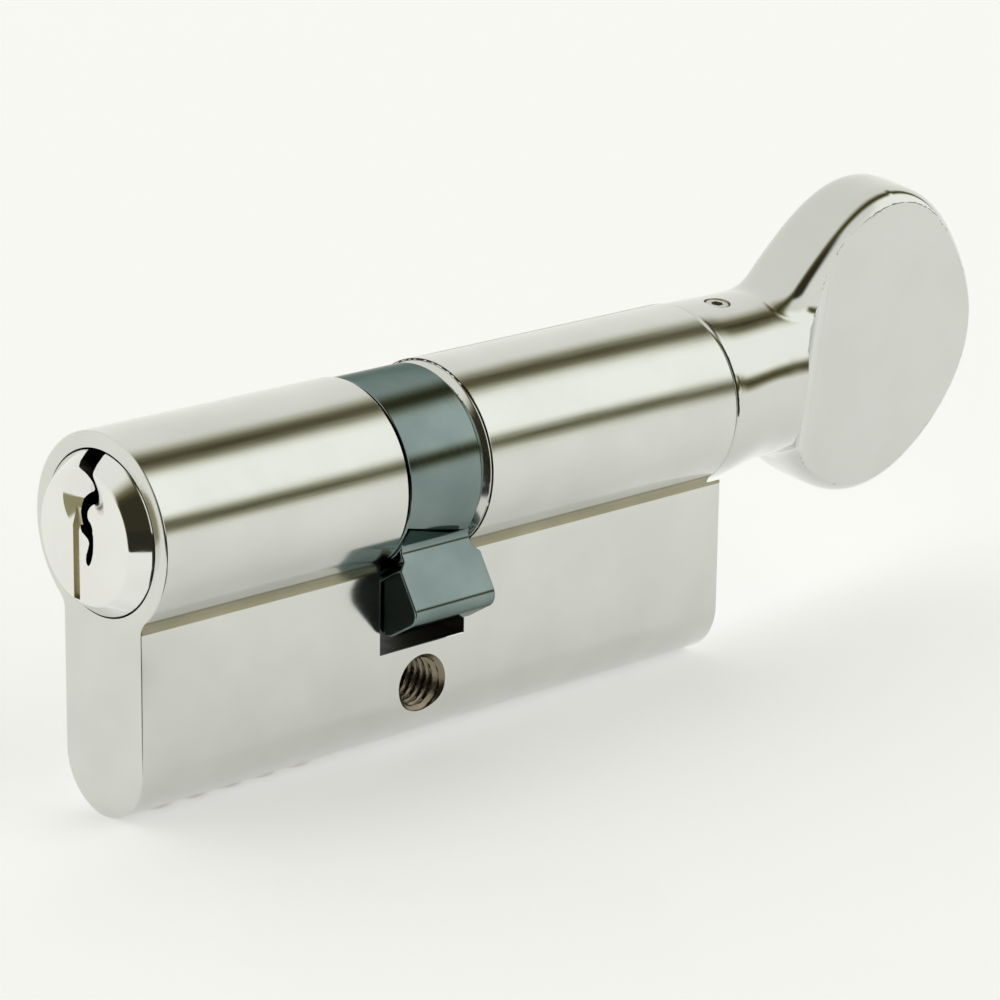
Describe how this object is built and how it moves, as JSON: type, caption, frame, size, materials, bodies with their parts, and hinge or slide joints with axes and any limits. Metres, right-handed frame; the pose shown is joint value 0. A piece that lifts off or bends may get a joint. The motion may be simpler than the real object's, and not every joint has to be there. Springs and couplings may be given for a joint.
{
  "type": "euro cylinder",
  "caption": "Euro-profile knob cylinder: a nickel-plated barrel on a flat web, with a keyed plug and sprung pin stacks at one end, a turning cam lever, and a thumbturn at the other end.",
  "frame": {"origin": "where the fixing-screw axis crosses the middle plane of the web, at the centre of the cam slot", "axes": "+X runs along the barrel from the keyed end to the thumbturn, +Y is across the web away from the side that the lever leans to at rest, +Z runs from the web up to the barrel"},
  "size_m": [0.1066, 0.0177, 0.042],
  "materials": {
    "satin_nickel": "satin",
    "polished_nickel": "polished",
    "plug_nickel": "polished",
    "black_nickel": "gloss",
    "bare_brass": "satin",
    "hard_steel": "satin",
    "spring_steel": "satin"
  },
  "bodies": {
    "body": {"cylinder_body": "satin_nickel", "chamber_cap_1": "bare_brass", "chamber_cap_2": "bare_brass", "chamber_cap_3": "bare_brass", "chamber_cap_4": "bare_brass", "chamber_cap_5": "bare_brass", "pin_spring_1": "spring_steel", "pin_spring_2": "spring_steel", "pin_spring_3": "spring_steel", "pin_spring_4": "spring_steel", "pin_spring_5": "spring_steel"},
    "plug": {"plug": "plug_nickel", "plug_circlip": "spring_steel"},
    "key_pin_1": {"key_pin_1": "bare_brass"},
    "key_pin_2": {"key_pin_2": "bare_brass"},
    "key_pin_3": {"key_pin_3": "bare_brass"},
    "key_pin_4": {"key_pin_4": "bare_brass"},
    "key_pin_5": {"key_pin_5": "bare_brass"},
    "driver_pin_1": {"driver_pin_1": "hard_steel"},
    "driver_pin_2": {"driver_pin_2": "hard_steel"},
    "driver_pin_3": {"driver_pin_3": "hard_steel"},
    "driver_pin_4": {"driver_pin_4": "hard_steel"},
    "driver_pin_5": {"driver_pin_5": "hard_steel"},
    "cam": {"cam": "black_nickel", "clutch_spring": "spring_steel"},
    "clutch": {"clutch": "hard_steel"},
    "thumbturn": {"thumbturn": "polished_nickel", "thumbturn_set_screw": "hard_steel", "thumbturn_spindle": "hard_steel", "spindle_circlip": "spring_steel"}
  },
  "joints": [
    {"name": "plug_turn", "type": "hinge", "parent": "body", "child": "plug", "pos_m": [0, 0, 0.0187], "axis": [1, 0, 0], "continuous": true},
    {"name": "thumbturn_turn", "type": "hinge", "parent": "body", "child": "thumbturn", "pos_m": [0, 0, 0.0187], "axis": [1, 0, 0], "continuous": true},
    {"name": "cam_turn", "type": "hinge", "parent": "body", "child": "cam", "pos_m": [0, 0, 0.0187], "axis": [1, 0, 0], "continuous": true},
    {"name": "clutch_slide", "type": "slide", "parent": "cam", "child": "clutch", "axis": [1, 0, 0], "range_m": [0, 0.0009], "stiffness_N_per_m": 300, "springref_m": -0.003, "deforming": ["clutch_spring"]},
    {"name": "key_pin_1_slide", "type": "slide", "parent": "plug", "child": "key_pin_1", "axis": [0, 0, 1], "range_m": [0, 0.0009]},
    {"name": "key_pin_2_slide", "type": "slide", "parent": "plug", "child": "key_pin_2", "axis": [0, 0, 1], "range_m": [0, 0.0009]},
    {"name": "key_pin_3_slide", "type": "slide", "parent": "plug", "child": "key_pin_3", "axis": [0, 0, 1], "range_m": [0, 0.0009]},
    {"name": "key_pin_4_slide", "type": "slide", "parent": "plug", "child": "key_pin_4", "axis": [0, 0, 1], "range_m": [0, 0.0009]},
    {"name": "key_pin_5_slide", "type": "slide", "parent": "plug", "child": "key_pin_5", "axis": [0, 0, 1], "range_m": [0, 0.0009]},
    {"name": "driver_pin_1_slide", "type": "slide", "parent": "body", "child": "driver_pin_1", "axis": [0, 0, 1], "range_m": [-0.0012, 0], "stiffness_N_per_m": 120, "springref_m": 0.003, "deforming": ["pin_spring_1"]},
    {"name": "driver_pin_2_slide", "type": "slide", "parent": "body", "child": "driver_pin_2", "axis": [0, 0, 1], "range_m": [-0.0012, 0], "stiffness_N_per_m": 120, "springref_m": 0.003, "deforming": ["pin_spring_2"]},
    {"name": "driver_pin_3_slide", "type": "slide", "parent": "body", "child": "driver_pin_3", "axis": [0, 0, 1], "range_m": [-0.0012, 0], "stiffness_N_per_m": 120, "springref_m": 0.003, "deforming": ["pin_spring_3"]},
    {"name": "driver_pin_4_slide", "type": "slide", "parent": "body", "child": "driver_pin_4", "axis": [0, 0, 1], "range_m": [-0.0012, 0], "stiffness_N_per_m": 120, "springref_m": 0.003, "deforming": ["pin_spring_4"]},
    {"name": "driver_pin_5_slide", "type": "slide", "parent": "body", "child": "driver_pin_5", "axis": [0, 0, 1], "range_m": [-0.0012, 0], "stiffness_N_per_m": 120, "springref_m": 0.003, "deforming": ["pin_spring_5"]}
  ],
  "couplings": [
    {"joint": "cam_turn", "follows": "thumbturn_turn", "ratio": 1}
  ]
}
